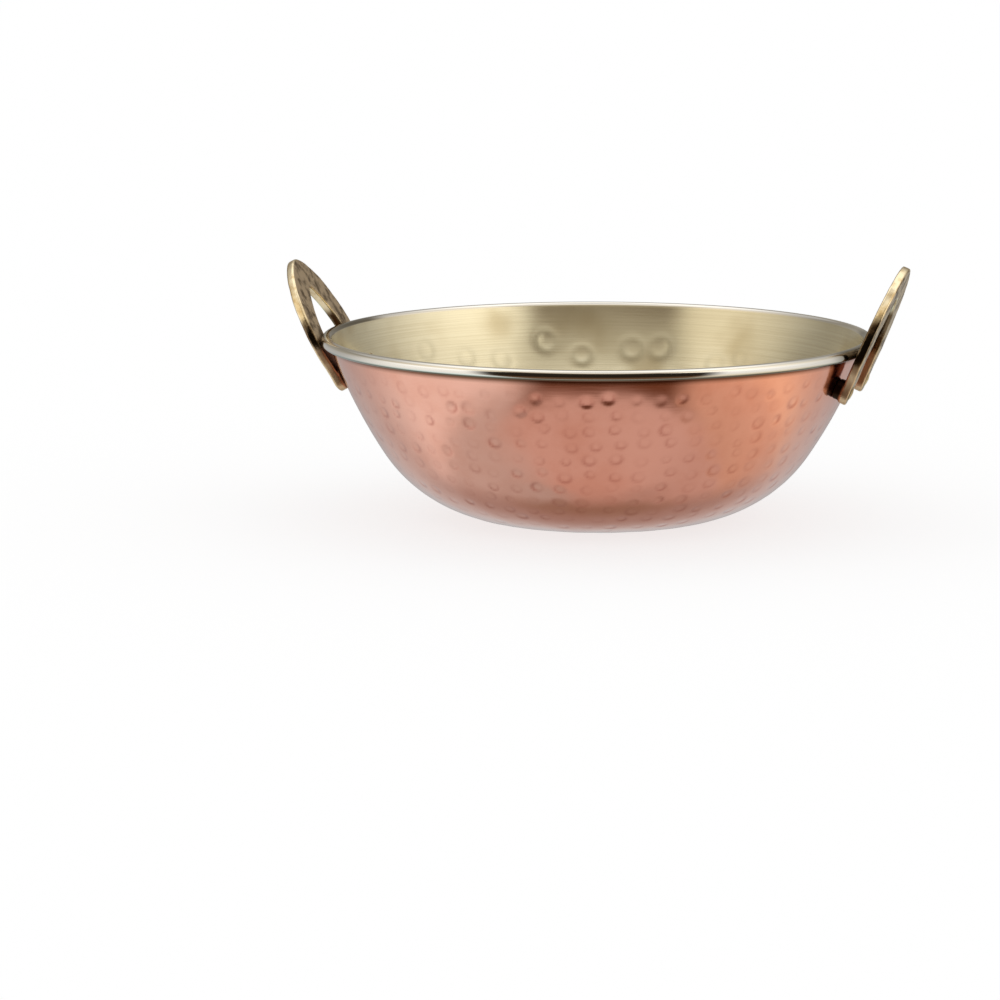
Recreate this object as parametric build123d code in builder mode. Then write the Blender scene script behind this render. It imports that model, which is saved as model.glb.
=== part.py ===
# A two-layer kadai: a copper bowl over a steel liner, with two riveted cast brass handles.
# Millimetres, +Z up, origin at the middle of the flat base. The handles stand on the X axis.
from build123d import *
from math import cos, degrees, hypot, radians, sin, sqrt, tan
import os

# The bowl, with heights measured from the table to the outer surface of the copper
rim_diameter = 250.0
bead_thickness = 4.8
bead_centre_height = 81.3
base_flat_diameter = 80.0
bottom_bend_turn = 56.3
rim_lean = 18.53
copper_wall = 0.9
liner_wall = 0.7
shell_gap = 0.05
copper_edge_drop = 0.3

# The handles, flat castings from one mould that lean outward from their feet
handle_width = 60.9
handle_height = 64.7
handle_thickness = 4.0
handle_widest_height = 22.0
handle_shoulder_width = 46.2
handle_shoulder_height = 47.5
handle_crown_radius = 12.0
handle_edge_radius = 0.9
opening_width = 35.2
opening_spring_height = 16.5
opening_height = 50.2
opening_crown_radius = 4.0
foot_outer_width = 54.4
pad_height = 9.5
pad_reach = 6.0
seat_gap = 0.1

# Each is riveted on by hand, so the two don't lean alike
right_handle_lean = 22.9
right_foot_height = 57.9
left_handle_lean = 29.3
left_foot_height = 56.7

# The rivets that hold each foot to both bowl layers
rivet_diameter = 4.0
rivet_head_diameter = 7.4
rivet_head_height = 1.9
rivet_head_rim = 0.7
rivet_face_height = 0.6
rivet_height = 6.2
rivet_gap = 0.05

# Sizes that follow from those above
bead_radius = bead_thickness / 2
bead_ring_radius = rim_diameter / 2 - bead_radius
base_radius = base_flat_diameter / 2
liner_inset = copper_wall + shell_gap
wall_total = liner_inset + liner_wall
foot_width = (foot_outer_width - opening_width) / 2
foot_middle = (foot_outer_width + opening_width) / 4
pad_width = foot_width - 2 * handle_edge_radius
pad_middle = handle_edge_radius + pad_height / 2
shank_radius = rivet_diameter / 2
head_radius = rivet_head_diameter / 2

# The section is two tangent arcs, a tight one at the bottom and a wide one up to the rim. Their radii
# follow from where they start and end. The wide one's inner face is tangent to the bead.
bend_turn = radians(bottom_bend_turn)
rim_turn = 90 - rim_lean
bead_centre = Vector(bead_ring_radius, bead_centre_height)
bead_offset = bead_radius - wall_total
rim_outward = Vector(sin(radians(rim_turn)), -cos(radians(rim_turn)))
bend_outward = Vector(sin(bend_turn), -cos(bend_turn))
span = bead_centre - rim_outward * bead_offset - Vector(base_radius, 0)
bend_step = bend_outward - Vector(0, -1)
wall_step = rim_outward - bend_outward
arcs_turn = bend_step.X * wall_step.Y - bend_step.Y * wall_step.X
bottom_bend_radius = (span.X * wall_step.Y - span.Y * wall_step.X) / arcs_turn
wall_radius = (bend_step.X * span.Y - bend_step.Y * span.X) / arcs_turn
bend_centre = Vector(base_radius, bottom_bend_radius)
wall_centre = bend_centre + bend_outward * (bottom_bend_radius - wall_radius)


def handle_plane(handle_lean, foot_height, half_turn):
    # Outer face of a handle: local X runs along its width, local Y up the lean and local Z outward.
    # It stands where the middle of each leg passes the bead with the seat gap to spare.
    lean = radians(handle_lean)
    leg_at_bead = sqrt(bead_ring_radius**2 - foot_middle**2) + (bead_radius + seat_gap) / cos(lean)
    foot_reach = leg_at_bead - (bead_centre_height - foot_height) * tan(lean)
    origin = (foot_reach + handle_thickness / cos(lean), 0, foot_height)
    face = Plane(origin=origin, x_dir=(0, 1, 0), z_dir=(cos(lean), 0, -sin(lean)))
    return Plane(Rot(0, 0, half_turn) * face.location)


handle_planes = {
    "right": handle_plane(right_handle_lean, right_foot_height, 0),
    "left": handle_plane(left_handle_lean, left_foot_height, 180),
}


def turn_below_rim(length):
    # turn of the wall at a length along it below the bead's centre
    return rim_turn - degrees(length / wall_radius)


def wall_line(inset, top_turn):
    # middle of the base to the top edge, at an inset from the outer surface of the copper
    Line((0, inset), (base_radius, inset))
    CenterArc(bend_centre, bottom_bend_radius - inset, -90, bottom_bend_turn)
    wall_turn = top_turn - bottom_bend_turn
    wall = CenterArc(wall_centre, wall_radius - inset, bottom_bend_turn - 90, wall_turn)
    return wall @ 1


def layer_face(outer_inset, inner_inset, top_turn, mode=Mode.ADD):
    # half section of one layer of the bowl
    with BuildLine() as section:
        outer_top = wall_line(outer_inset, top_turn)
        inner_top = wall_line(inner_inset, top_turn)
        Line(outer_top, inner_top)
        Line((0, outer_inset), (0, inner_inset))
    make_face(section.edges(), mode=mode)


def depth_at(face, inset):
    # depth below a foot's outer face at which a rivet's axis meets that inset of the wall
    near = 0
    far = handle_thickness + pad_reach + wall_total
    for _ in range(40):
        middle = (near + far) / 2
        point = face.from_local_coords(Vector(foot_middle, rivet_height, -middle))
        across = hypot(point.X, point.Y) - wall_centre.X
        if wall_radius - hypot(across, wall_centre.Y - point.Z) > inset:
            far = middle
        else:
            near = middle
    return near


liner_depths = {side: depth_at(face, wall_total) for side, face in handle_planes.items()}

# Working solids that the pieces are cut with
with BuildPart() as bowl_outside:
    with BuildSketch(Plane.XZ):
        with BuildLine():
            top = wall_line(-seat_gap, rim_turn)
            Polyline(top, (0, top.Y), (0, -seat_gap))
        make_face()
        with Locations(bead_centre):
            Circle(bead_radius + seat_gap)
    revolve(axis=Axis.Z)

with BuildPart() as bowl_inside:
    with BuildSketch(Plane.XZ):
        with BuildLine():
            inner_inset = wall_total + rivet_gap
            top = wall_line(inner_inset, rim_turn)
            Polyline(top, (0, top.Y), (0, inner_inset))
        make_face()
    revolve(axis=Axis.Z)

with BuildPart() as rivet_holes:
    for side, face in handle_planes.items():
        with BuildSketch(face):
            with Locations((foot_middle, rivet_height), (-foot_middle, rivet_height)):
                Circle(shank_radius + rivet_gap)
        extrude(amount=liner_depths[side] + wall_total, both=True)

# Outer copper bowl, whose top edge ends inside the rolled rim
with BuildPart() as copper_shell:
    with BuildSketch(Plane.XZ):
        layer_face(0, copper_wall, turn_below_rim(copper_edge_drop))
    revolve(axis=Axis.Z)
    add(rivet_holes.part, mode=Mode.SUBTRACT)
copper_shell.part.label = "copper_shell"

# Steel liner, whose edge curls outward over the copper into the rim bead
with BuildPart() as steel_liner:
    with BuildSketch(Plane.XZ):
        with Locations(bead_centre):
            Circle(bead_radius)
            Circle(bead_radius - liner_wall, mode=Mode.SUBTRACT)
        layer_face(-shell_gap, liner_inset, rim_turn, mode=Mode.SUBTRACT)
        layer_face(liner_inset, wall_total, rim_turn)
    revolve(axis=Axis.Z)
    add(rivet_holes.part, mode=Mode.SUBTRACT)
steel_liner.part.label = "steel_liner"

# Cast handles, arched flat loops on two separate feet with pads that meet the wall
handles = []
for side, face in handle_planes.items():
    with BuildPart() as handle:
        with BuildSketch(face) as loop:
            with BuildLine():
                foot_outer = (foot_outer_width / 2, foot_width / 2)
                foot_inner = (opening_width / 2, foot_width / 2)
                widest = (handle_width / 2, handle_widest_height)
                shoulder = (handle_shoulder_width / 2, handle_shoulder_height)
                spring = (opening_width / 2, opening_spring_height)
                crown = (0, handle_height)
                opening_crown = (0, opening_height)
                ankle = (Vector(*widest) + Vector(*foot_outer)) / 2
                ThreePointArc(foot_inner, (foot_middle, 0), foot_outer)
                TangentArc(foot_outer, ankle, tangent=(0, 1))
                TangentArc(widest, ankle, tangent=(0, -1))
                upper_side = TangentArc(widest, shoulder, tangent=(0, 1))
                TangentArc(shoulder, crown, tangent=upper_side % 1)
                Line(crown, opening_crown)
                TangentArc(spring, opening_crown, tangent=(0, 1))
                Line(spring, foot_inner)
            make_face()
            mirror(about=Plane.YZ)
            fillet(loop.vertices().sort_by(Axis.Y)[-1], handle_crown_radius)
            middle_points = loop.vertices().filter_by_position(Axis.X, -seat_gap, seat_gap)
            fillet(middle_points.sort_by(Axis.Y)[-1], opening_crown_radius)
        extrude(amount=-handle_thickness)
        flat_faces = handle.faces().filter_by(face)
        fillet(flat_faces.edges(), handle_edge_radius)
        with BuildSketch(face.offset(-handle_thickness / 2)):
            with Locations((foot_middle, pad_middle), (-foot_middle, pad_middle)):
                RectangleRounded(pad_width, pad_height, pad_width / 2 - seat_gap)
        extrude(amount=-handle_thickness / 2 - pad_reach)
        add(bowl_outside.part, mode=Mode.SUBTRACT)
        add(rivet_holes.part, mode=Mode.SUBTRACT)
    handle.part.label = f"handle_{side}"
    handles.append(handle)

# Rivets, each with a head peened nearly flush on its foot and a domed head on the liner
rivets = []
for side, face in handle_planes.items():
    for along in (foot_middle, -foot_middle):
        spot = Plane(face.location * Pos(along, rivet_height, 0))
        end = "back" if spot.origin.Y > 0 else "front"
        rivet_axis = Axis(spot.origin, spot.z_dir)
        half_section = Plane(origin=spot.origin, x_dir=spot.x_dir, z_dir=-spot.y_dir)
        with BuildPart() as rivet:
            with BuildSketch(half_section):
                with BuildLine():
                    shank_end = -liner_depths[side] - rivet_head_rim
                    head_rim = (head_radius, shank_end)
                    head_top = (0, -liner_depths[side] - rivet_head_height)
                    TangentArc(head_top, head_rim, tangent=(1, 0))
                    Polyline(head_rim, (head_radius, 0), (0, 0), head_top)
                make_face()
            revolve(axis=rivet_axis)
            add(bowl_inside.part, mode=Mode.INTERSECT)
            with BuildSketch(half_section):
                with BuildLine():
                    face_rim = (head_radius, rivet_gap)
                    face_top = (0, rivet_gap + rivet_face_height)
                    TangentArc(face_top, face_rim, tangent=(1, 0))
                    Polyline(face_rim, (shank_radius, rivet_gap), (shank_radius, shank_end))
                    Polyline((shank_radius, shank_end), (0, shank_end), face_top)
                make_face()
            revolve(axis=rivet_axis)
        rivet.part.label = f"rivet_{side}_{end}"
        rivets.append(rivet)

os.makedirs("parts", exist_ok=True)
for piece in (copper_shell, steel_liner, *handles, *rivets):
    export_step(piece.part, f"parts/{piece.part.label}.step")
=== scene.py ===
# The looks of a kadai: a hammered copper bowl, a spun steel liner with a rolled rim and cast brass handles.
# Lengths are in metres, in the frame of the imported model.
from math import acos, atan, ceil, cos, degrees, pi, radians, sin, sqrt

import bpy
import numpy as np
from mathutils import Matrix, Vector, noise


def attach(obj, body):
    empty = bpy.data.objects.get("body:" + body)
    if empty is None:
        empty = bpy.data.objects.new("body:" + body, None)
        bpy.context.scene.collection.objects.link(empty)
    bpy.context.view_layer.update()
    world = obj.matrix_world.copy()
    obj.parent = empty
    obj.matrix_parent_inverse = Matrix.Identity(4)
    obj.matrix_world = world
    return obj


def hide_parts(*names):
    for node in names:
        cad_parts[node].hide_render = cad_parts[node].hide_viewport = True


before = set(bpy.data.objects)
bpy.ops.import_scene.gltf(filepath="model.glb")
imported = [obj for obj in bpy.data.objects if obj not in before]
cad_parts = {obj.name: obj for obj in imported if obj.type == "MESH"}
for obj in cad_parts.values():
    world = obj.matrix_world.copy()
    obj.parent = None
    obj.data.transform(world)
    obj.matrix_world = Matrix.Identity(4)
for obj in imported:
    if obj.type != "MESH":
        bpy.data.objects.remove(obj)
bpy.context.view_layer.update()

MM = 0.001

# The bowl, as it was modelled
rim_diameter = 250.0 * MM
bead_thickness = 4.8 * MM
bead_centre_height = 81.3 * MM
base_radius = 40.0 * MM
bottom_bend_turn = radians(56.3)
rim_turn = radians(90 - 18.53)
copper_wall = 0.9 * MM
liner_wall = 0.7 * MM
shell_gap = 0.05 * MM
copper_edge_drop = 0.3 * MM

bead_radius = bead_thickness / 2
liner_inset = copper_wall + shell_gap
wall_total = liner_inset + liner_wall
bead_offset = bead_radius - wall_total
bead_centre = np.array([rim_diameter / 2 - bead_radius, bead_centre_height])


def outward_at(turn):
    """The section's outward direction, as (radius, height), where it has turned that far from level."""
    return np.stack([np.sin(turn), -np.cos(turn)], -1)


# Two tangent arcs run from the edge of the flat base to the rim
bend_step = outward_at(bottom_bend_turn) - outward_at(0)
wall_step = outward_at(rim_turn) - outward_at(bottom_bend_turn)
arc_span = bead_centre - bead_offset * outward_at(rim_turn) - np.array([base_radius, 0])
bottom_bend_radius, wall_radius = np.linalg.solve(np.column_stack([bend_step, wall_step]), arc_span)
bend_centre = np.array([base_radius, bottom_bend_radius])
wall_centre = bend_centre + (bottom_bend_radius - wall_radius) * outward_at(bottom_bend_turn)
bend_start = base_radius
wall_start = bend_start + bottom_bend_radius * bottom_bend_turn
wall_end = wall_start + wall_radius * (rim_turn - bottom_bend_turn)


def profile_at(along, inset):
    """Radius and height of the wall at lengths along it from the middle of the base, and its outward way."""
    along = np.asarray(along, float)
    bend_angle = np.clip((along - bend_start) / bottom_bend_radius, 0, bottom_bend_turn)
    wall_angle = bottom_bend_turn + (along - wall_start) / wall_radius
    on_wall = along > wall_start
    outward = outward_at(np.where(on_wall, wall_angle, bend_angle))
    bend_point = bend_centre + (bottom_bend_radius - inset) * outward
    wall_point = wall_centre + (wall_radius - inset) * outward
    flat_point = np.stack([along, np.full_like(along, inset)], -1)
    point = np.where(on_wall[:, None], wall_point, bend_point)
    point = np.where((along < bend_start)[:, None], flat_point, point)
    return point, outward


def steps(start, end, step):
    """Evenly spaced values from start to end, about a step apart."""
    return np.linspace(start, end, max(2, ceil(abs(end - start) / step) + 1))


def fade(values, start, end):
    """Shares that ease from nought at the start value to one at the end value."""
    share = np.clip((values - start) / (end - start), 0, 1)
    return share * share * (3 - 2 * share)


# Rings of points of the two shells, by their distance along the wall, and columns round the axis
copper_columns = 620
copper_row_step = 1.08 * MM
liner_columns = 490
liner_row_step = 1.15 * MM
flat_row_step = 5 * MM
plain_row_step = 12 * MM
bead_steps = 34


def rows_up_to(top, step):
    """Lengths along the wall from the middle of the base to a top edge, about a step apart on the bowl."""
    return np.concatenate([steps(0, bend_start, flat_row_step)[:-1], steps(bend_start, top, step)])


def column_turns(columns):
    return np.arange(columns) * 2 * pi / columns


def new_object(name, data):
    thing = bpy.data.objects.new(name, data)
    bpy.context.scene.collection.objects.link(thing)
    return thing


def revolved(name, section, outward, push):
    """A closed shell of revolution from a section that runs from axis to axis, as points (radius, height).

    Its first rings are pushed in against their outward directions, by a distance of their own at each column.
    """
    columns = push.shape[1]
    turns = column_turns(columns)
    places = np.repeat(section[:, None, :], columns, 1)
    places[: len(push)] -= push[:, :, None] * outward[:, None, :]
    rings = places[1:-1]
    radius, height = rings[:, :, 0], rings[:, :, 1]
    grid = np.stack([radius * np.cos(turns), radius * np.sin(turns), height], -1).reshape(-1, 3)
    points = np.vstack([[0, 0, section[0][1]], grid, [0, 0, section[-1][1]]])
    here = np.arange(columns)
    ahead = (here + 1) % columns
    low = (1 + np.arange(len(rings) - 1) * columns)[:, None]
    high = low + columns
    walls = np.stack([low + here, low + ahead, high + ahead, high + here], -1).reshape(-1, 4)
    last = len(points) - 1
    top = last - columns
    middle_fans = [(0, 1 + b, 1 + a) for a, b in zip(here.tolist(), ahead.tolist())]
    middle_fans += [(last, top + a, top + b) for a, b in zip(here.tolist(), ahead.tolist())]
    mesh = bpy.data.meshes.new(name)
    mesh.from_pydata(points.tolist(), [], walls.tolist() + middle_fans)
    mesh.shade_smooth()
    return new_object(name, mesh)


def store_value(piece, name, values):
    """Stores one value for each point of a piece, for its material to read."""
    layer = piece.data.attributes.new(name, "FLOAT", "POINT")
    layer.data.foreach_set("value", values.astype(np.float32))


def store_on_rings(piece, name, ring_count, columns, first, values):
    """Stores values on a shell's rings, from the first that's given on, and nought on the others."""
    rings = np.zeros((ring_count, columns))
    rings[first : first + len(values)] = values
    store_value(piece, name, np.concatenate([[0], rings[1:-1].ravel(), [0]]))


# Hammer marks on the copper: rows of shallow round dents, some hit harder than others
mark_pitch = 11.0 * MM
mark_row_gap = 8.1 * MM
mark_radius = (2.6 * MM, 3.7 * MM)
mark_depth = (0.05 * MM, 0.24 * MM)
mark_jitter = 1.7 * MM
lowest_mark_row = bend_start + 7 * MM
highest_mark_row = wall_end - 11.6 * MM

# Rings in the liner, raised by the heavier blows
bump_rows = (wall_end - 56 * MM, wall_end - 39 * MM, wall_end - 22 * MM)
bump_pitch = 21 * MM
bump_radius = (5.0 * MM, 7.0 * MM)
bump_height = (0.09 * MM, 0.26 * MM)
bump_jitter = 5 * MM

# Most blows are light, and each leans up to so many radians from straight down. A blow changes the wall
# within so many of its radii.
light_blow_power = 1.7
blow_lean = 1.3
blow_reach = 2
fewest_in_row = 3

# Shapes of the marks: powers of the hollow, and shares of the radius or of the depth
dish_power = 0.95
dish_power_tilt = 0.35
dish_even_share = 0.55
ring_radius_share = 0.75
ring_width_share = 0.3
ring_even_share = 0.7
# The painted shade of each mark lies on a ring at this share of its radius, and is this wide
shade_radius_share = 0.74
shade_width_share = 0.24

# Broad unevenness of a hand-beaten wall. The copper is set back, so that none of it passes the solid.
wave_count = 14
wave_lobes = (3, 26)
wave_rise = (0.3, 1.2)
wave_height = 0.05 * MM
copper_wave_length = 60 * MM
liner_wave_length = 90 * MM
copper_setback = 0.08 * MM

# The unevenness grows from nothing over these lengths from the flat base and from the rim
base_calm = 12 * MM
copper_rim_calm = 15 * MM
liner_rim_calm = 10 * MM

rng = np.random.default_rng(11)


def tilted_dish(right, up, lean):
    """Depth share of a hollow from a hammer that lands on one edge, at places in radii from its middle."""
    hollow = np.clip(1 - right**2 - up**2, 0, 1)
    toward_edge = np.clip(right * cos(lean) + up * sin(lean), -1, 1)
    tilt = dish_even_share + (1 - dish_even_share) * toward_edge
    return hollow ** (dish_power - dish_power_tilt * toward_edge) * tilt


def soft_ring(right, up, radius_share, width_share):
    """Shares that are one on a ring round a mark's middle, and fall off to both sides of it."""
    return np.exp(-(((np.hypot(right, up) - radius_share) / width_share) ** 2))


def raised_ring(right, up, lean):
    """Height share of a soft ring pushed up round a blow from behind, higher on one side."""
    toward_edge = right * cos(lean) + up * sin(lean)
    ring = soft_ring(right, up, ring_radius_share, ring_width_share)
    return ring * (ring_even_share + (1 - ring_even_share) * toward_edge)


def round_marks(alongs, columns, rows, pitch, sizes, depths, jitter, shape):
    """Marks in staggered rows round the bowl: their depth, and a painted shade on the deep edge of each."""
    depth_field = np.zeros((len(alongs), columns))
    shade_field = np.zeros((len(alongs), columns))
    radii = np.maximum(profile_at(alongs, 0)[0][:, 0], base_radius / 2)
    turns = column_turns(columns)
    for row, middle in enumerate(rows):
        radius = profile_at([middle], 0)[0][0, 0]
        count = max(fewest_in_row, round(2 * pi * radius / pitch))
        for place in range(count):
            size = rng.uniform(*sizes)
            depth = depths[0] + np.ptp(depths) * rng.uniform() ** light_blow_power
            lean = -pi / 2 + rng.uniform(-blow_lean, blow_lean)
            along = middle + rng.uniform(-jitter, jitter)
            turn = (place + (row % 2) / 2) * 2 * pi / count + rng.uniform(-jitter, jitter) / radius
            near = np.where(abs(alongs - along) < blow_reach * size)[0]
            offset = (turns - turn + pi) % (2 * pi) - pi
            close = np.where(abs(offset) * radius < blow_reach * size)[0]
            patch = np.ix_(near, close)
            right = offset[close][None, :] * radii[near][:, None] / size
            up = (alongs[near] - along)[:, None] / size + 0 * right
            depth_field[patch] = np.maximum(depth_field[patch], depth * shape(right, up, lean))
            # A painted shade on the mark's deep edge, stronger for deeper blows
            edge = soft_ring(right, up, shade_radius_share, shade_width_share)
            toward_edge = np.clip(right * cos(lean) + up * sin(lean), -1, 1)
            shade = edge * (1 + toward_edge) / 2 * depth / depths[1]
            shade_field[patch] = np.maximum(shade_field[patch], shade)
    return depth_field, shade_field


def soft_waves(alongs, columns, length):
    """A sum of a few waves round the bowl and up it."""
    turns = column_turns(columns)
    field = np.zeros((len(alongs), columns))
    for _ in range(wave_count):
        lobes = rng.integers(*wave_lobes)
        rise = rng.uniform(*wave_rise) * 2 * pi / length
        field += np.sin(lobes * turns[None, :] + rise * alongs[:, None] + rng.uniform(0, 2 * pi))
    return field * wave_height / sqrt(wave_count)


def calm_ends(alongs, top, rim_calm):
    """Share of the unevenness that's left along the wall, none at the flat base or at the top edge."""
    return np.clip((alongs - bend_start) / base_calm, 0, 1) * np.clip((top - alongs) / rim_calm, 0, 1)


# Painted shadow in the corner under the rim, as turns round the bead and lengths of copper below its middle.
# A painted shade and dark reflection of the handle legs lies on the whole rim beside the handles too, within
# these turns from the middle of each.
rim_painted_shade_turns = (radians(177), radians(202))
copper_painted_shade_band = (3.2 * MM, 5.6 * MM)
leg_painted_shade_turns = (radians(15), radians(24))
leg_painted_shade_share = 0.85

# The rim's section is a little square. It leaves the inner wall round, and is square after this turn.
rim_squareness = 2.6
squaring_turn = radians(60)


def copper_bowl():
    """The hammered outer bowl, whose top edge goes up inside the rolled rim."""
    edge = wall_end - copper_edge_drop
    outer = rows_up_to(edge, copper_row_step)
    inner = rows_up_to(edge, plain_row_step)[::-1]
    outer_points, outward = profile_at(outer, 0)
    inner_points, _ = profile_at(inner, copper_wall)
    section = np.vstack([outer_points, inner_points])
    rows = np.arange(highest_mark_row, lowest_mark_row, -mark_row_gap)
    dents, shades = round_marks(
        outer, copper_columns, rows, mark_pitch, mark_radius, mark_depth, mark_jitter, tilted_dish
    )
    waves = soft_waves(outer, copper_columns, copper_wave_length)
    calm = calm_ends(outer, edge, copper_rim_calm)
    push = np.maximum((dents + waves + copper_setback) * calm[:, None], 0)
    piece = revolved("hammered_copper_bowl", section, outward, push)
    # A painted shadow in the corner under the rolled rim, on the copper's top band
    painted_shade = fade(wall_end - outer, *reversed(copper_painted_shade_band))
    store_on_rings(piece, "painted_mark_shade", len(section), copper_columns, 0, shades)
    store_on_rings(piece, "painted_shade", len(section), copper_columns, 0, painted_shade[:, None])
    return piece


def ways_round_bead(turns):
    """Directions from the bead's middle at turns from the inside of the bowl up and over to the outside."""
    up = np.array([cos(rim_turn), sin(rim_turn)])
    return np.sin(turns)[:, None] * up - np.cos(turns)[:, None] * outward_at(rim_turn)


def curl_end(radius):
    """How far round the bead a circle of that radius goes before it meets the copper."""
    return 2 * pi - acos((bead_offset - shell_gap) / radius)


def steel_liner():
    """The spun liner and its rim, where the sheet curls outward over the copper's edge."""
    inner = rows_up_to(wall_end, liner_row_step)
    outer = rows_up_to(wall_end, plain_row_step)[::-1]
    inner_points, outward = profile_at(inner, wall_total)
    outer_points, _ = profile_at(outer, liner_inset)
    hollow_radius = bead_radius - liner_wall
    over = np.linspace(0, curl_end(bead_radius), bead_steps)[1:]
    back = np.linspace(curl_end(hollow_radius), 0, bead_steps)[:-1]
    over_ways = ways_round_bead(over)
    square = (abs(over_ways) ** rim_squareness).sum(1) ** (-1 / rim_squareness)
    swell = 1 + (square - 1) * fade(over, 0, squaring_turn)
    outer_curl = bead_centre + bead_radius * swell[:, None] * over_ways
    inner_curl = bead_centre + hollow_radius * ways_round_bead(back)
    section = np.vstack([inner_points, outer_curl, inner_curl, outer_points])
    bumps, shades = round_marks(
        inner, liner_columns, bump_rows, bump_pitch, bump_radius, bump_height, bump_jitter, raised_ring
    )
    waves = soft_waves(inner, liner_columns, liner_wave_length)
    calm = calm_ends(inner, wall_end, liner_rim_calm)[:, None]
    piece = revolved("spun_steel_liner", section, outward, (bumps + waves) * calm)
    # The section starts inside the bowl, unlike the copper's, so its faces are turned to look outward
    piece.data.flip_normals()
    # Painted shade and dark reflection of the handle legs on the rim beside them, and a painted shadow under
    # the bead
    from_handles = abs((column_turns(liner_columns) + pi / 2) % pi - pi / 2)
    by_legs = leg_painted_shade_share * fade(from_handles, *reversed(leg_painted_shade_turns))
    under_rim = fade(over, *rim_painted_shade_turns)
    painted_shade = np.maximum(under_rim[:, None], by_legs[None, :])
    store_on_rings(piece, "rim_polish", len(section), liner_columns, len(inner), np.ones((len(over), 1)))
    store_on_rings(piece, "painted_mark_shade", len(section), liner_columns, 0, shades * calm)
    store_on_rings(piece, "painted_shade", len(section), liner_columns, len(inner), painted_shade)
    return piece


# The handles and rivets are remeshed in voxels of this size and smoothed this many times
handle_voxel = 0.42 * MM
handle_smoothing = 5
rivet_voxel = 0.2 * MM
rivet_smoothing = 4
smoothing_factor = 0.5

# Grains of their surfaces, as (size, height), and where in the noise the right side's start. The left side's
# start one further on.
handle_grains = ((9 * MM, 0.16 * MM), (2.6 * MM, 0.05 * MM))
handle_grain_start = 3.7
rivet_grains = ((1.7 * MM, 0.09 * MM),)
rivet_grain_start = 8.1

# The handles' ends of the X axis, and how far they lean
handle_ends = {"right": 1, "left": -1}
handle_leans = {"right": radians(22.9), "left": radians(29.3)}

# Painted shade on the backs of the feet, where they sit in against the bowl, by depth below their outer face
# and by height. The legs carry patina and a painted dark reflection at the height of the rim, from and to
# these heights, and are dull below.
feet_painted_shade_depth = (3.4 * MM, 4.6 * MM)
feet_painted_shade_height = (79 * MM, 74 * MM)
leg_patina_and_painted_reflection_heights = {"right": (77 * MM, 97 * MM), "left": (78 * MM, 89 * MM)}
leg_patina_and_painted_reflection_fade = 5 * MM


def remeshed(name, source, voxel, smoothing):
    """A dense copy of a solid with its edges worn soft."""
    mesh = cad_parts[source].data.copy()
    mesh.name = name
    mesh.materials.clear()
    piece = new_object(name, mesh)
    remesh = piece.modifiers.new("voxels", "REMESH")
    remesh.mode = "VOXEL"
    remesh.voxel_size = voxel
    soften = piece.modifiers.new("worn_edges", "SMOOTH")
    soften.factor = smoothing_factor
    soften.iterations = smoothing
    graph = bpy.context.evaluated_depsgraph_get()
    dense = bpy.data.meshes.new_from_object(piece.evaluated_get(graph))
    piece.modifiers.clear()
    piece.data = dense
    dense.name = name
    dense.shade_smooth()
    return piece


def point_vectors(mesh, kind):
    """The place or the normal of each point of a mesh."""
    values = np.empty(len(mesh.vertices) * 3)
    mesh.vertices.foreach_get(kind, values)
    return values.reshape(-1, 3)


def roughen(piece, grains, start):
    """Moves each point a little along its normal, so that a surface looks cast or peened."""
    mesh = piece.data
    places = point_vectors(mesh, "co")
    push = np.zeros(len(places))
    for size, height in grains:
        push += [height * noise.noise(Vector(place)) for place in places / size + start]
    places += point_vectors(mesh, "normal") * push[:, None]
    mesh.vertices.foreach_set("co", places.ravel())
    mesh.update()


def blacken_feet(handle, side):
    """Stores the painted shade on the backs of the feet, the patina and painted dark reflection on the legs
    at the rim, and how dull the feet.
    """
    places = point_vectors(handle.data, "co")
    lean = handle_leans[side]
    along = places @ np.array([handle_ends[side] * cos(lean), 0, -sin(lean)])
    height = places[:, 2]
    # Painted shade on the backs of the feet, where they sit against the bowl
    feet_painted_shade = fade(along.max() - along, *feet_painted_shade_depth) * fade(height, *feet_painted_shade_height)
    # Patina and a painted dark reflection on the legs at the height of the rim
    past_foot, past_rim = [
        fade(height, limit - leg_patina_and_painted_reflection_fade / 2, limit + leg_patina_and_painted_reflection_fade / 2) for limit in leg_patina_and_painted_reflection_heights[side]
    ]
    store_value(handle, "feet_painted_shade", feet_painted_shade)
    store_value(handle, "leg_patina_and_painted_reflection", past_foot * (1 - past_rim))
    store_value(handle, "dull_foot", 1 - past_foot)


# Node helpers
def give(tree, socket, value):
    """Gives a socket a constant, or links it to another node's output."""
    if isinstance(value, bpy.types.NodeSocket):
        tree.links.new(value, socket)
    else:
        socket.default_value = value


def feed(tree, node, **values):
    """Gives values to a node's sockets. A name has _ where the socket's own name has a space."""
    for name, value in values.items():
        give(tree, node.inputs[name.replace("_", " ")], value)


def add_node(tree, kind, **values):
    """A new node. Names in small letters are its settings, and the others are its sockets, as in feed."""
    node = tree.nodes.new(kind)
    for name, value in values.items():
        if name.islower():
            setattr(node, name, value)
        else:
            feed(tree, node, **{name: value})
    return node


def linked_math(tree, operation, *values):
    node = add_node(tree, "ShaderNodeMath", operation=operation)
    for socket, value in zip(node.inputs, values):
        give(tree, socket, value)
    return node.outputs[0]


def product_of(tree, first, *others):
    for other in others:
        first = linked_math(tree, "MULTIPLY", first, other)
    return first


def ranged(tree, value, **limits):
    """A value mapped from one range onto another. Either is nought to one where it isn't given."""
    return add_node(tree, "ShaderNodeMapRange", Value=value, **limits).outputs["Result"]


def spread(tree, share, start, end):
    """Goes from the start value to the end value as the share goes from nought to one."""
    return ranged(tree, share, To_Min=start, To_Max=end)


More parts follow.
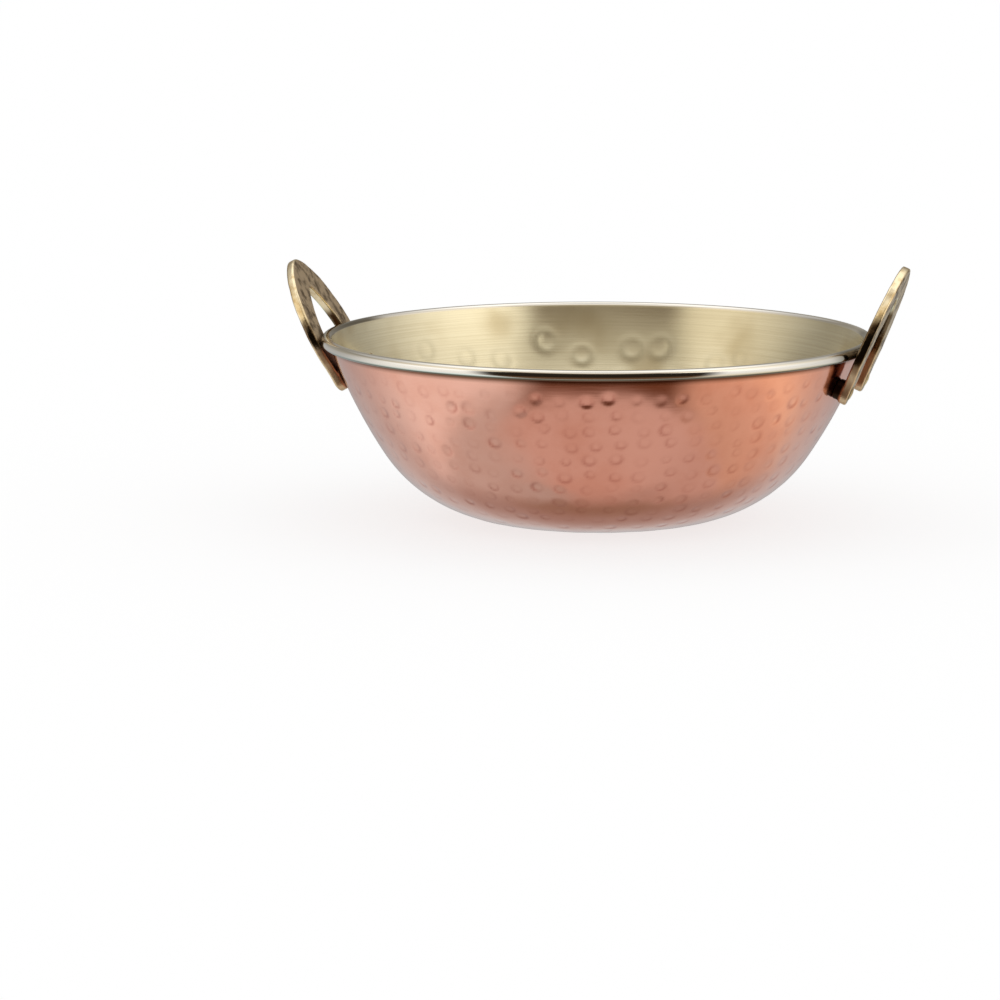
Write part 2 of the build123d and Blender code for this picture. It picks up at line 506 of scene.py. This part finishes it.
def soft_step(tree, value, start, end):
    """Nought before the start and one after the end, with an ease between them."""
    return ranged(tree, value, interpolation_type="SMOOTHSTEP", From_Min=start, From_Max=end)


def mixed(tree, factor, first, second, data_type="RGBA"):
    """Goes from the first value to the second as the factor goes from nought to one."""
    return add_node(
        tree, "ShaderNodeMix", data_type=data_type, Factor=factor, A=first, B=second
    ).outputs["Result"]


def stored_value(tree, name):
    return add_node(tree, "ShaderNodeAttribute", attribute_name=name).outputs["Fac"]


def object_place(tree):
    return add_node(tree, "ShaderNodeTexCoord").outputs["Object"]


def noise_at(tree, place, **values):
    return add_node(tree, "ShaderNodeTexNoise", Vector=place, **values).outputs["Fac"]


def bumped(tree, height, strength, distance):
    return add_node(
        tree, "ShaderNodeBump", Height=height, Strength=strength, Distance=distance
    ).outputs["Normal"]


def new_material(name):
    material = bpy.data.materials.new(name)
    material.use_nodes = True
    tree = material.node_tree
    return material, tree, tree.nodes["Principled BSDF"]


def group_tree(name, inputs, outputs):
    """A new node group, with the sockets that it is given and its output node."""
    tree = bpy.data.node_groups.new(name, "ShaderNodeTree")
    for label, kind, value in inputs:
        socket = tree.interface.new_socket(label, in_out="INPUT", socket_type=kind)
        socket.default_value = value
    for label, kind in outputs:
        tree.interface.new_socket(label, in_out="OUTPUT", socket_type=kind)
    return tree, tree.nodes.new("NodeGroupInput").outputs, tree.nodes.new("NodeGroupOutput")


# Noise of the tarnish, of the spun lines and of the cast brass
cloud_roughness = 0.62
line_noise = {"Scale": 1.0, "Detail": 3.0, "Roughness": 0.6}
cast_noise = {"Scale": 900.0, "Detail": 4.0, "Roughness": 0.6}


def tarnish_group():
    """Patches of an older finish over a clean one."""
    tree, given, result = group_tree(
        "tarnish",
        [
            ("Clean", "NodeSocketColor", (1, 1, 1, 1)),
            ("Aged", "NodeSocketColor", (0, 0, 0, 1)),
            ("Scale", "NodeSocketFloat", 40.0),
            ("Grain", "NodeSocketFloat", 6.0),
            ("Low", "NodeSocketFloat", 0.4),
            ("High", "NodeSocketFloat", 0.7),
        ],
        [("Color", "NodeSocketColor"), ("Mask", "NodeSocketFloat")],
    )
    cloud = noise_at(
        tree, object_place(tree), Scale=given["Scale"], Detail=given["Grain"], Roughness=cloud_roughness
    )
    mask = soft_step(tree, cloud, given["Low"], given["High"])
    feed(tree, result, Color=mixed(tree, mask, given["Clean"], given["Aged"]), Mask=mask)
    return tree


def ring_lines_group():
    """Fine lines round the bowl, left by spinning or polishing it on its axis."""
    tree, given, result = group_tree(
        "ring_lines",
        [("Lines per metre", "NodeSocketFloat", 900.0), ("Along", "NodeSocketFloat", 12.0)],
        [("Height", "NodeSocketFloat")],
    )
    parts = add_node(tree, "ShaderNodeSeparateXYZ", Vector=object_place(tree)).outputs
    level = add_node(tree, "ShaderNodeCombineXYZ", X=parts["X"], Y=parts["Y"]).outputs["Vector"]
    radius = add_node(tree, "ShaderNodeVectorMath", operation="LENGTH", Vector=level).outputs["Value"]
    climb = linked_math(tree, "ADD", parts["Z"], radius)
    stretched = add_node(
        tree, "ShaderNodeCombineXYZ",
        X=product_of(tree, parts["X"], given["Along"]),
        Y=product_of(tree, parts["Y"], given["Along"]),
        Z=product_of(tree, climb, given["Lines per metre"]),
    ).outputs["Vector"]
    feed(tree, result, Height=noise_at(tree, stretched, **line_noise))
    return tree


tarnish = tarnish_group()
ring_lines = ring_lines_group()

# Colours of the finishes and of the painted shades and reflections, linear and opaque
copper_clean = (0.86, 0.395, 0.285, 1)
copper_aged = (0.80, 0.33, 0.225, 1)
# Painted shade on the edges of the hammer marks
copper_mark_painted_shade = (0.42, 0.10, 0.065, 1)
# Painted shadow under the rim
copper_painted_shade_colour = (0.16, 0.06, 0.03, 1)
steel_clean = (0.86, 0.79, 0.59, 1)
steel_aged = (0.66, 0.56, 0.36, 1)
steel_streak = (0.60, 0.51, 0.33, 1)
# Painted shade on the edges of the liner's rings
steel_mark_painted_shade = (0.30, 0.27, 0.17, 1)
# Painted shadow under the rolled rim, and painted shade and dark reflection by the handle legs
steel_painted_shade_colour = (0.16, 0.13, 0.08, 1)
steel_rim = (0.90, 0.85, 0.76, 1)
handle_colours = {
    "edge_clean": (0.98, 0.82, 0.54, 1),
    "edge_aged": (0.70, 0.50, 0.25, 1),
    "face_clean": (0.64, 0.50, 0.34, 1),
    "face_aged": (0.19, 0.13, 0.075, 1),
}
rivet_colours = {
    "edge_clean": (0.80, 0.60, 0.31, 1),
    "edge_aged": (0.52, 0.35, 0.15, 1),
    "face_clean": (0.86, 0.66, 0.36, 1),
    "face_aged": (0.50, 0.34, 0.16, 1),
}
# Patina and a painted dark reflection on the legs at the rim
leg_patina_and_painted_reflection_colour = (0.10, 0.055, 0.025, 1)
dull_foot_colour = (0.80, 0.56, 0.34, 1)
# Painted shade on the backs of the feet
feet_painted_shade_colour = (0.035, 0.018, 0.010, 1)

# How strongly each of these finishes, painted shades and painted reflections shows
copper_mark_strength = 0.72
steel_mark_strength = 0.6
steel_streak_strength = 0.3
leg_patina_and_painted_reflection_strength = 0.9
dull_foot_strength = 0.8

# Roughness of the clean and the aged metal, or of the edges and the flat faces of brass
copper_roughness = (0.10, 0.16)
steel_roughness = (0.20, 0.255)
steel_rim_roughness = 0.10
brass_roughness = (0.16, 0.46)

# Reflections in the liner stretch across its spun lines, a quarter of a turn from them
steel_anisotropy = 0.75
quarter_turn = 0.25

# The spun lines darken the steel from and to these values of their noise
steel_streak_range = (0.42, 0.66)

# Strengths and heights of the shader bumps
copper_bump = (0.2, 0.03 * MM)
steel_bump = (0.25, 0.03 * MM)
brass_bump = (0.35, 0.08 * MM)

# Brass counts as a flat face from and to these shares of its outward direction along X
flat_face_range = (0.66, 0.82)


def add_tarnish(tree, clean, aged, **values):
    return add_node(tree, "ShaderNodeGroup", node_tree=tarnish, Clean=clean, Aged=aged, **values).outputs


def add_ring_lines(tree, lines_per_metre, along):
    return add_node(
        tree, "ShaderNodeGroup", node_tree=ring_lines, Lines_per_metre=lines_per_metre, Along=along
    ).outputs["Height"]


def copper_material():
    """Satin copper, a little redder in its older patches, with a painted red-brown shade on the edges of its
    hammer marks and a painted shadow under the rim.
    """
    material, tree, shader = new_material("hammered_copper")
    aged = add_tarnish(tree, copper_clean, copper_aged, Scale=30.0, Low=0.36, High=0.74)
    # A painted red-brown shade on the edges of the hammer marks
    mark = product_of(tree, stored_value(tree, "painted_mark_shade"), copper_mark_strength)
    marked = mixed(tree, mark, aged["Color"], copper_mark_painted_shade)
    lines = add_ring_lines(tree, lines_per_metre=1500.0, along=60.0)
    feed(
        tree, shader,
        Metallic=1.0,
        # A painted shadow under the rim
        Base_Color=mixed(tree, stored_value(tree, "painted_shade"), marked, copper_painted_shade_colour),
        Roughness=spread(tree, aged["Mask"], *copper_roughness),
        Normal=bumped(tree, lines, *copper_bump),
    )
    return material


def liner_material():
    """Satin steel, spun on its axis, so that lamps stretch into bands down the wall, with a painted shade on
    the edges of its rings, a painted shadow under its rolled rim, and a painted shade and dark reflection of
    the handle legs on the rim beside them.
    """
    material, tree, shader = new_material("spun_steel")
    aged = add_tarnish(tree, steel_clean, steel_aged, Scale=30.0, Grain=1.6, Low=0.50, High=0.78)
    lines = add_ring_lines(tree, lines_per_metre=1100.0, along=9.0)
    low, high = steel_streak_range
    streak = ranged(tree, lines, From_Min=low, From_Max=high, To_Max=steel_streak_strength)
    streaked = mixed(tree, streak, aged["Color"], steel_streak)
    # A painted shade on the edges of the liner's rings
    mark = product_of(tree, stored_value(tree, "painted_mark_shade"), steel_mark_strength)
    marked = mixed(tree, mark, streaked, steel_mark_painted_shade)
    polish = stored_value(tree, "rim_polish")
    polished = mixed(tree, polish, marked, steel_rim)
    satin = spread(tree, aged["Mask"], *steel_roughness)
    feed(
        tree, shader,
        Metallic=1.0,
        # A painted shadow under the rim, and a painted shade and dark reflection of the handle legs
        Base_Color=mixed(tree, stored_value(tree, "painted_shade"), polished, steel_painted_shade_colour),
        Roughness=mixed(tree, polish, satin, steel_rim_roughness, "FLOAT"),
        Anisotropic=spread(tree, polish, steel_anisotropy, 0.0),
        Anisotropic_Rotation=quarter_turn,
        Tangent=add_node(tree, "ShaderNodeTangent", direction_type="RADIAL", axis="Z").outputs["Tangent"],
        Normal=bumped(tree, lines, *steel_bump),
    )
    return material


def brass_material(name, colours):
    """Brass with buffed edges, a mottled skin on its flat faces, painted shade behind its feet, patina and a
    painted dark reflection on its legs, and dull feet.
    """
    material, tree, shader = new_material(name)
    buffed = add_tarnish(tree, colours["edge_clean"], colours["edge_aged"], Scale=220.0, Low=0.42, High=0.72)
    skin = add_tarnish(tree, colours["face_clean"], colours["face_aged"], Scale=170.0, Low=0.43, High=0.62)
    normal = add_node(tree, "ShaderNodeNewGeometry").outputs["Normal"]
    across = add_node(tree, "ShaderNodeSeparateXYZ", Vector=normal).outputs["X"]
    low, high = flat_face_range
    face = ranged(tree, linked_math(tree, "ABSOLUTE", across), From_Min=low, From_Max=high)
    edge = linked_math(tree, "SUBTRACT", 1.0, face)
    foot = stored_value(tree, "dull_foot")
    bare = mixed(tree, face, buffed["Color"], skin["Color"])
    dulled = mixed(tree, product_of(tree, foot, edge, dull_foot_strength), bare, dull_foot_colour)
    # Patina and a painted dark reflection on the legs at the rim
    dark = product_of(tree, stored_value(tree, "leg_patina_and_painted_reflection"), edge, leg_patina_and_painted_reflection_strength)
    darkened = mixed(tree, dark, dulled, leg_patina_and_painted_reflection_colour)
    rough = linked_math(tree, "MAXIMUM", face, foot)
    grain = noise_at(tree, object_place(tree), **cast_noise)
    feed(
        tree, shader,
        Metallic=1.0,
        # Painted shade on the backs of the feet
        Base_Color=mixed(tree, stored_value(tree, "feet_painted_shade"), darkened, feet_painted_shade_colour),
        Roughness=spread(tree, rough, *brass_roughness),
        Normal=bumped(tree, grain, *brass_bump),
    )
    return material


# Pieces
copper = copper_bowl()
copper.data.materials.append(copper_material())
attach(copper, "root")
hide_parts("copper_shell")

liner = steel_liner()
liner.data.materials.append(liner_material())
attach(liner, "root")
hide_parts("steel_liner")

cast_brass = brass_material("cast_brass", handle_colours)
rivet_brass = brass_material("rivet_brass", rivet_colours)
for number, side in enumerate(handle_ends):
    handle = remeshed(f"cast_handle_{side}", f"handle_{side}", handle_voxel, handle_smoothing)
    blacken_feet(handle, side)
    roughen(handle, handle_grains, handle_grain_start + number)
    handle.data.materials.append(cast_brass)
    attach(handle, "root")
    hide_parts(f"handle_{side}")
    for end in ("back", "front"):
        rivet = remeshed(f"peened_rivet_{side}_{end}", f"rivet_{side}_{end}", rivet_voxel, rivet_smoothing)
        roughen(rivet, rivet_grains, rivet_grain_start + number)
        rivet.data.materials.append(rivet_brass)
        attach(rivet, "root")
        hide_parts(f"rivet_{side}_{end}")

# The photograph's view: a long lens a little above the table
view_azimuth = radians(12.2)
view_elevation = radians(8.52)
view_distance = 2.0
view_target = Vector((0, 0, 40 * MM))
focal_pixels = 4391.0
photo_size = 1000.0
target_pixel = (597.8, 429.1)
sensor_width = 36.0
view_range = (0.05, 60.0)

# Stage: a pale floor and the studio that the metal mirrors, white with a dark camera side.
# Each strip of the studio is a list of (elevation in degrees, brightness, tint).
floor_half = 9.0
room_light = 0.34
floor_colour = (1.0, 0.80, 0.77)
white = (1.0, 1.0, 1.0)
cool = (0.84, 1.0, 1.06)
warm = (1.0, 0.94, 0.82)
amber = (1.0, 0.96, 0.78)
brown = (1.0, 0.66, 0.40)
rusty = (1.0, 0.54, 0.28)
tan = (1.0, 0.91, 0.74)
camera_side = [
    (-90, 0.62, white), (-76, 0.67, white), (-60, 0.67, white), (-53, 0.67, white), (-48.2, 0.14, rusty),
    (-34, 0.17, rusty), (-24, 0.11, rusty), (-13, 0.02, brown), (20, 0.02, warm), (26, 0.09, brown),
    (30, 0.22, brown), (33, 0.44, tan), (38, 0.46, tan), (43, 0.54, tan), (49, 1.0, warm), (55, 1.0, white),
    (63, 0.75, white), (90, 0.7, white),
]
left_side = [
    (-90, 0.62, white), (-76, 0.62, cool), (-66, 0.67, cool), (-57, 0.72, cool), (-50, 0.74, cool),
    (-42, 1.12, cool), (-33, 1.12, cool), (-22, 0.9, white), (-10, 0.95, white), (8, 1.2, white),
    (20, 0.92, tan), (36, 0.92, tan), (47, 0.92, white), (60, 1.3, white), (90, 1.3, white),
]
right_side = [
    (-90, 0.62, white), (-76, 0.52, white), (-66, 0.60, white), (-58, 0.62, white), (-52, 0.67, warm),
    (-46, 0.72, warm), (-41, 0.80, warm), (-36, 1.02, amber), (-26, 0.85, warm), (-10, 0.9, white),
    (8, 1.2, white), (20, 1.30, warm), (28, 1.34, warm), (33, 1.05, warm), (46, 0.94, warm),
    (60, 1.3, white), (90, 1.3, white),
]
far_side = [
    (-90, 0.58, white), (-72, 0.34, warm), (-55, 0.42, white), (-30, 0.72, cool), (-8, 0.45, white),
    (6, 0.34, warm), (22, 0.28, warm), (36, 0.5, white), (60, 1.2, white), (90, 1.2, white),
]

# Where one strip fades into the next, as (elevation, start, end), in degrees from the camera's direction
strip_edges = {
    "left": {
        "camera": [
            (-60, 44, 88), (-53, 44, 84), (-48, 25, 44), (-40, 32, 50), (-20, 42, 56), (8, 44, 58),
            (30, 32, 44), (46, 50, 75),
        ],
        "far": [(-50, 112, 150), (20, 62, 130)],
    },
    "right": {
        "camera": [
            (-60, 42, 92), (-53, 46, 88), (-48, 36, 56), (-40, 40, 58), (-20, 42, 56), (8, 44, 58),
            (30, 24, 35), (46, 46, 72),
        ],
        "far": [(-50, 112, 150), (20, 50, 152)],
    },
}
middle_fade = (-12, 12)

# In degrees too
zenith = 90.0
half_turn = 180.0


def pale_floor():
    """A floor that is white to the camera but for the object's own shadow, and that no metal mirrors."""
    corners = [(x * floor_half, y * floor_half, 0) for x, y in ((-1, -1), (1, -1), (1, 1), (-1, 1))]
    mesh = bpy.data.meshes.new("pale_floor")
    mesh.from_pydata(corners, [], [(0, 1, 2, 3)])
    floor = new_object("pale_floor", mesh)
    material, tree, shader = new_material("pale_floor")
    feed(tree, shader, Base_Color=(*floor_colour, 1), Roughness=1.0, Specular_IOR_Level=0.0)
    seen = add_node(tree, "ShaderNodeLightPath").outputs["Is Camera Ray"]
    missing_light = (*[1 - share * room_light for share in floor_colour], 1)
    glow = add_node(tree, "ShaderNodeEmission", Color=missing_light, Strength=seen)
    both = add_node(tree, "ShaderNodeAddShader")
    tree.links.new(shader.outputs[0], both.inputs[0])
    tree.links.new(glow.outputs[0], both.inputs[1])
    tree.links.new(both.outputs[0], tree.nodes["Material Output"].inputs["Surface"])
    floor.data.materials.append(material)
    floor.visible_glossy = False


def along_direction(tree, place, direction):
    """How far a direction goes along another."""
    product = add_node(tree, "ShaderNodeVectorMath", operation="DOT_PRODUCT", Vector=place)
    give(tree, product.inputs[1], direction)
    return product.outputs["Value"]


def ramp_by_height(tree, elevation, stops, interpolation):
    """A colour ramp over elevation in degrees, from stops of (elevation, (red, green, blue))."""
    share = ranged(tree, elevation, From_Min=-zenith, From_Max=zenith)
    ramp = add_node(tree, "ShaderNodeValToRGB", Fac=share)
    ramp.color_ramp.interpolation = interpolation
    while len(ramp.color_ramp.elements) < len(stops):
        ramp.color_ramp.elements.new(1.0)
    for element, (degrees_up, colour) in zip(ramp.color_ramp.elements, stops):
        element.position = (degrees_up + zenith) / (2 * zenith)
        element.color = (*colour, 1)
    return ramp.outputs["Color"]


def strip_colour(tree, elevation, stops):
    """Colour of one strip of the studio."""
    tinted = [(up, [bright * share for share in tint]) for up, bright, tint in stops]
    return ramp_by_height(tree, elevation, tinted, "EASE")


def strip_edge(tree, elevation, turn, edges):
    """How far a direction has passed from one strip into the next, where the edge depends on elevation."""
    stops = [(up, (start / half_turn, end / half_turn, 0)) for up, start, end in edges]
    limits = ramp_by_height(tree, elevation, stops, "LINEAR")
    parts = add_node(tree, "ShaderNodeSeparateColor", Color=limits).outputs
    return soft_step(tree, linked_math(tree, "DIVIDE", turn, half_turn), parts["Red"], parts["Green"])


def mixed_light(tree, factor, first, second):
    blend = add_node(tree, "ShaderNodeMixShader", Fac=factor)
    tree.links.new(first, blend.inputs[1])
    tree.links.new(second, blend.inputs[2])
    return blend.outputs[0]


def even_light(tree, colour, strength):
    return add_node(tree, "ShaderNodeBackground", Color=colour, Strength=strength).outputs[0]


def studio_world():
    """A white backdrop, an even light on matt surfaces, and strips of a studio that only metal shows."""
    world = bpy.data.worlds.new("white_studio")
    bpy.context.scene.world = world
    world.use_nodes = True
    tree = world.node_tree
    tree.nodes.clear()
    towards_camera = Vector((sin(view_azimuth), -cos(view_azimuth), 0))
    to_the_right = Vector((cos(view_azimuth), sin(view_azimuth), 0))
    place = add_node(tree, "ShaderNodeTexCoord").outputs["Generated"]
    ahead = along_direction(tree, place, towards_camera)
    aside = along_direction(tree, place, to_the_right)
    upward = along_direction(tree, place, (0, 0, 1))
    azimuth = product_of(tree, linked_math(tree, "ARCTAN2", aside, ahead), degrees(1))
    elevation = product_of(tree, linked_math(tree, "ARCSINE", upward), degrees(1))
    turn = linked_math(tree, "ABSOLUTE", azimuth)
    near = strip_colour(tree, elevation, camera_side)
    far = strip_colour(tree, elevation, far_side)
    halves = []
    for side, stops in (("left", left_side), ("right", right_side)):
        past_near = strip_edge(tree, elevation, turn, strip_edges[side]["camera"])
        past_side = strip_edge(tree, elevation, turn, strip_edges[side]["far"])
        half = mixed(tree, past_near, near, strip_colour(tree, elevation, stops))
        halves.append(mixed(tree, past_side, half, far))
    mirrored = mixed(tree, soft_step(tree, azimuth, *middle_fade), *halves)
    path = add_node(tree, "ShaderNodeLightPath").outputs
    # matt surfaces met so far come as a whole number, so under a half is none
    no_matt_yet = linked_math(tree, "LESS_THAN", path["Diffuse Depth"], 0.5)
    mirror_ray = product_of(tree, path["Is Glossy Ray"], no_matt_yet)
    room = even_light(tree, (*white, 1), room_light)
    lit = mixed_light(tree, mirror_ray, room, even_light(tree, mirrored, 1.0))
    whole = mixed_light(tree, path["Is Camera Ray"], lit, even_light(tree, (*white, 1), 1.0))
    tree.links.new(whole, add_node(tree, "ShaderNodeOutputWorld").inputs["Surface"])


def camera_like_photo():
    """The camera's direction is turned so that the target falls on its pixel of the photograph."""
    aside = atan((target_pixel[0] - photo_size / 2) / focal_pixels)
    lower = view_elevation - atan((target_pixel[1] - photo_size / 2) / focal_pixels)
    turned = Matrix.Rotation(view_azimuth, 3, "Z")
    back = Vector((0, -cos(view_elevation), sin(view_elevation)))
    forward = Vector((-sin(aside) * cos(lower), cos(aside) * cos(lower), -sin(lower)))
    data = bpy.data.cameras.new("photo_camera")
    data.sensor_width = sensor_width
    data.lens = focal_pixels * sensor_width / photo_size
    data.clip_start, data.clip_end = view_range
    camera = new_object("photo_camera", data)
    camera.location = view_target + turned @ back * view_distance
    camera.rotation_euler = (turned @ forward).to_track_quat("-Z", "Y").to_euler()
    bpy.context.scene.camera = camera


pale_floor()
studio_world()
camera_like_photo()
bpy.context.scene.view_settings.view_transform = "Standard"
